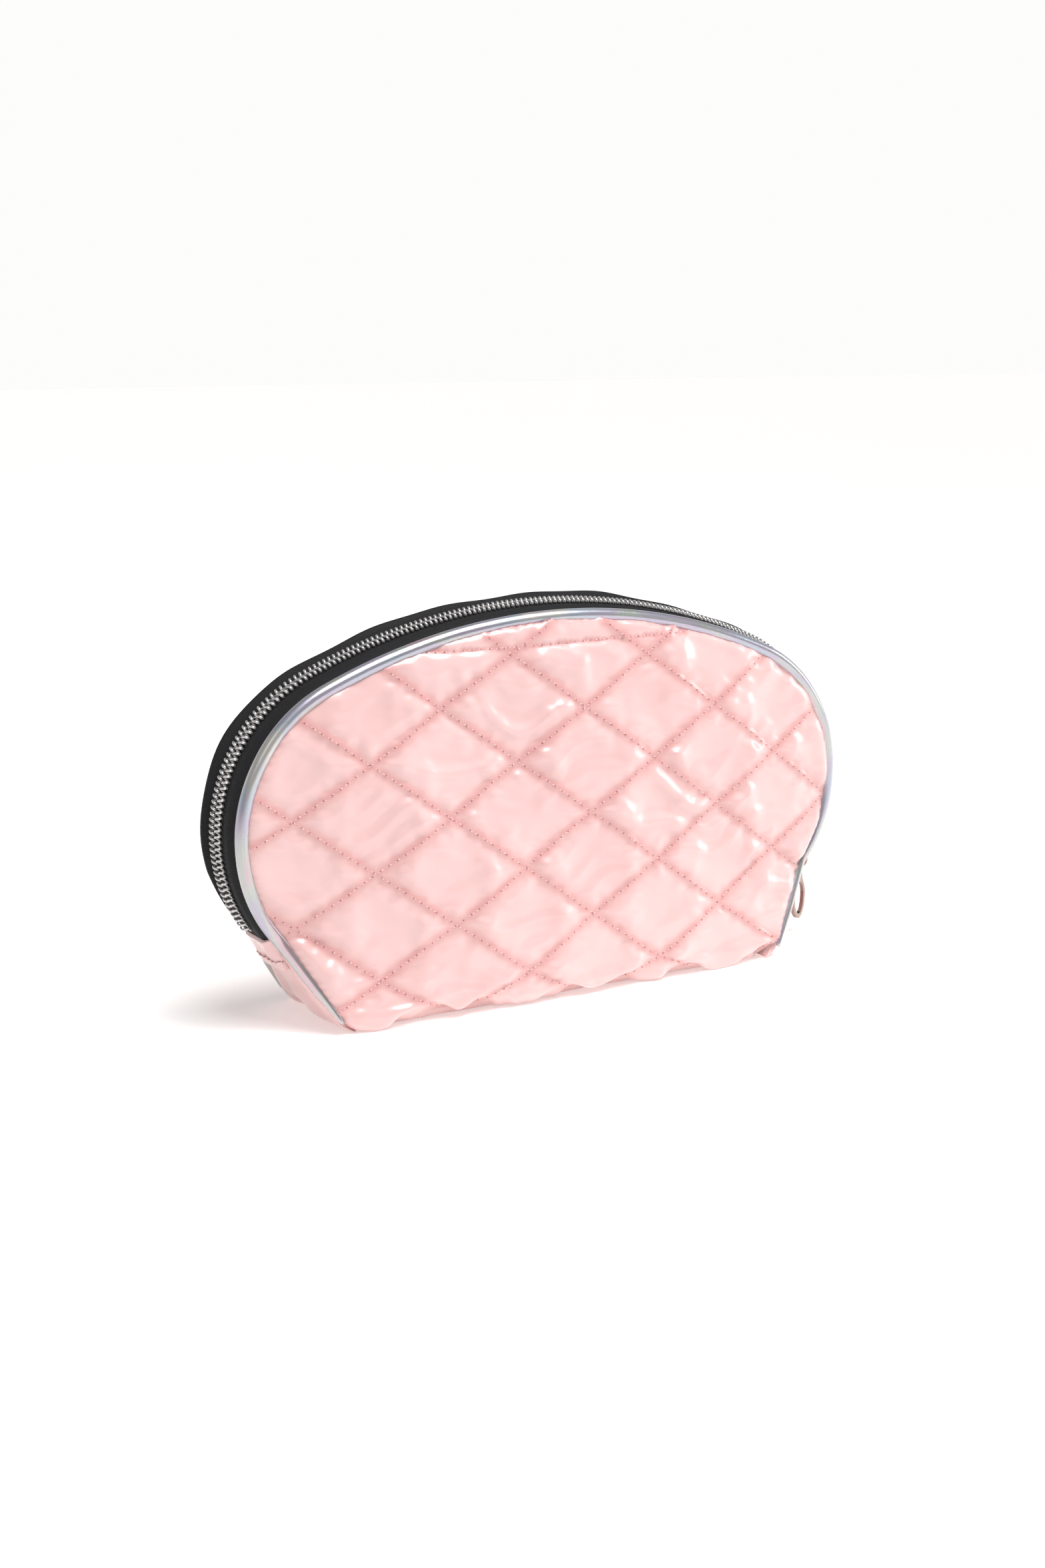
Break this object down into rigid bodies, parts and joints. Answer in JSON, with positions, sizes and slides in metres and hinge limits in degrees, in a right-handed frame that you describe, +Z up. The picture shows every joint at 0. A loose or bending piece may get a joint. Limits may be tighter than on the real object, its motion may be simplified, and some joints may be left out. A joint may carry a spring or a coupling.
{
  "type": "makeup bag",
  "caption": "Soft quilted makeup bag with a domed top, flat base, piped edges and a zip whose front folds open.",
  "frame": {"origin": "centre of the base on the surface it stands on", "axes": "+Z up, +X along the bag's width towards the closed slider, -Y towards the front panel"},
  "size_m": [0.225, 0.05, 0.1245],
  "materials": {
    "quilted_cloth": "glossy coated quilted cloth, pale pink, with matching stitches",
    "wadding": "soft white wadding and cord",
    "lining": "plain woven lining, pale",
    "piping": "iridescent silver covered piping",
    "tape": "black woven tape",
    "coil": "bright silver plated coil",
    "puller": "polished rose nickel"
  },
  "bodies": {
    "bag_body": {"base_panel": "quilted_cloth", "base_wadding": "wadding", "base_lining": "lining", "front_panel_lower": "quilted_cloth", "front_wadding_lower": "wadding", "front_lining_lower": "lining", "back_panel": "quilted_cloth", "back_wadding": "wadding", "back_lining": "lining", "left_gusset": "quilted_cloth", "left_gusset_wadding": "wadding", "left_gusset_lining": "lining", "right_gusset": "quilted_cloth", "right_gusset_wadding": "wadding", "right_gusset_lining": "lining", "left_end_tab": "quilted_cloth", "right_end_tab": "quilted_cloth", "front_piping_lower": "piping", "back_piping_lower": "piping", "back_piping": "piping", "back_piping_cord": "wadding", "back_seam_binding": "tape", "back_zip_tape": "tape", "back_coil": "coil"},
    "front_flap": {"front_panel_upper": "quilted_cloth", "front_wadding_upper": "wadding", "front_lining_upper": "lining", "front_piping": "piping", "front_piping_cord": "wadding", "front_seam_binding": "tape", "front_zip_tape": "tape", "front_coil": "coil"},
    "slider": {"slider_body": "puller", "slider_bridge": "puller"},
    "ring": {"pull_ring": "puller"},
    "pull": {"pull_tab": "puller"}
  },
  "joints": [
    {"name": "front_fold", "type": "hinge", "parent": "bag_body", "child": "front_flap", "pos_m": [0, -0.0137, 0.03], "axis": [1, 0, 0], "range_deg": [0, 55]},
    {"name": "slider_travel", "type": "hinge", "parent": "bag_body", "child": "slider", "pos_m": [0.0608, 0, 0.06], "axis": [0, -1, 0], "range_deg": [0, 92]},
    {"name": "ring_swing", "type": "hinge", "parent": "slider", "child": "ring", "pos_m": [0.10562, 0, 0.02984], "axis": [0.4067, -0.9135, 0], "range_deg": [-5, 90]},
    {"name": "pull_swing", "type": "hinge", "parent": "ring", "child": "pull", "pos_m": [0.10562, 0, 0.02374], "axis": [0.4067, -0.9135, 0], "range_deg": [-20, 45]}
  ]
}
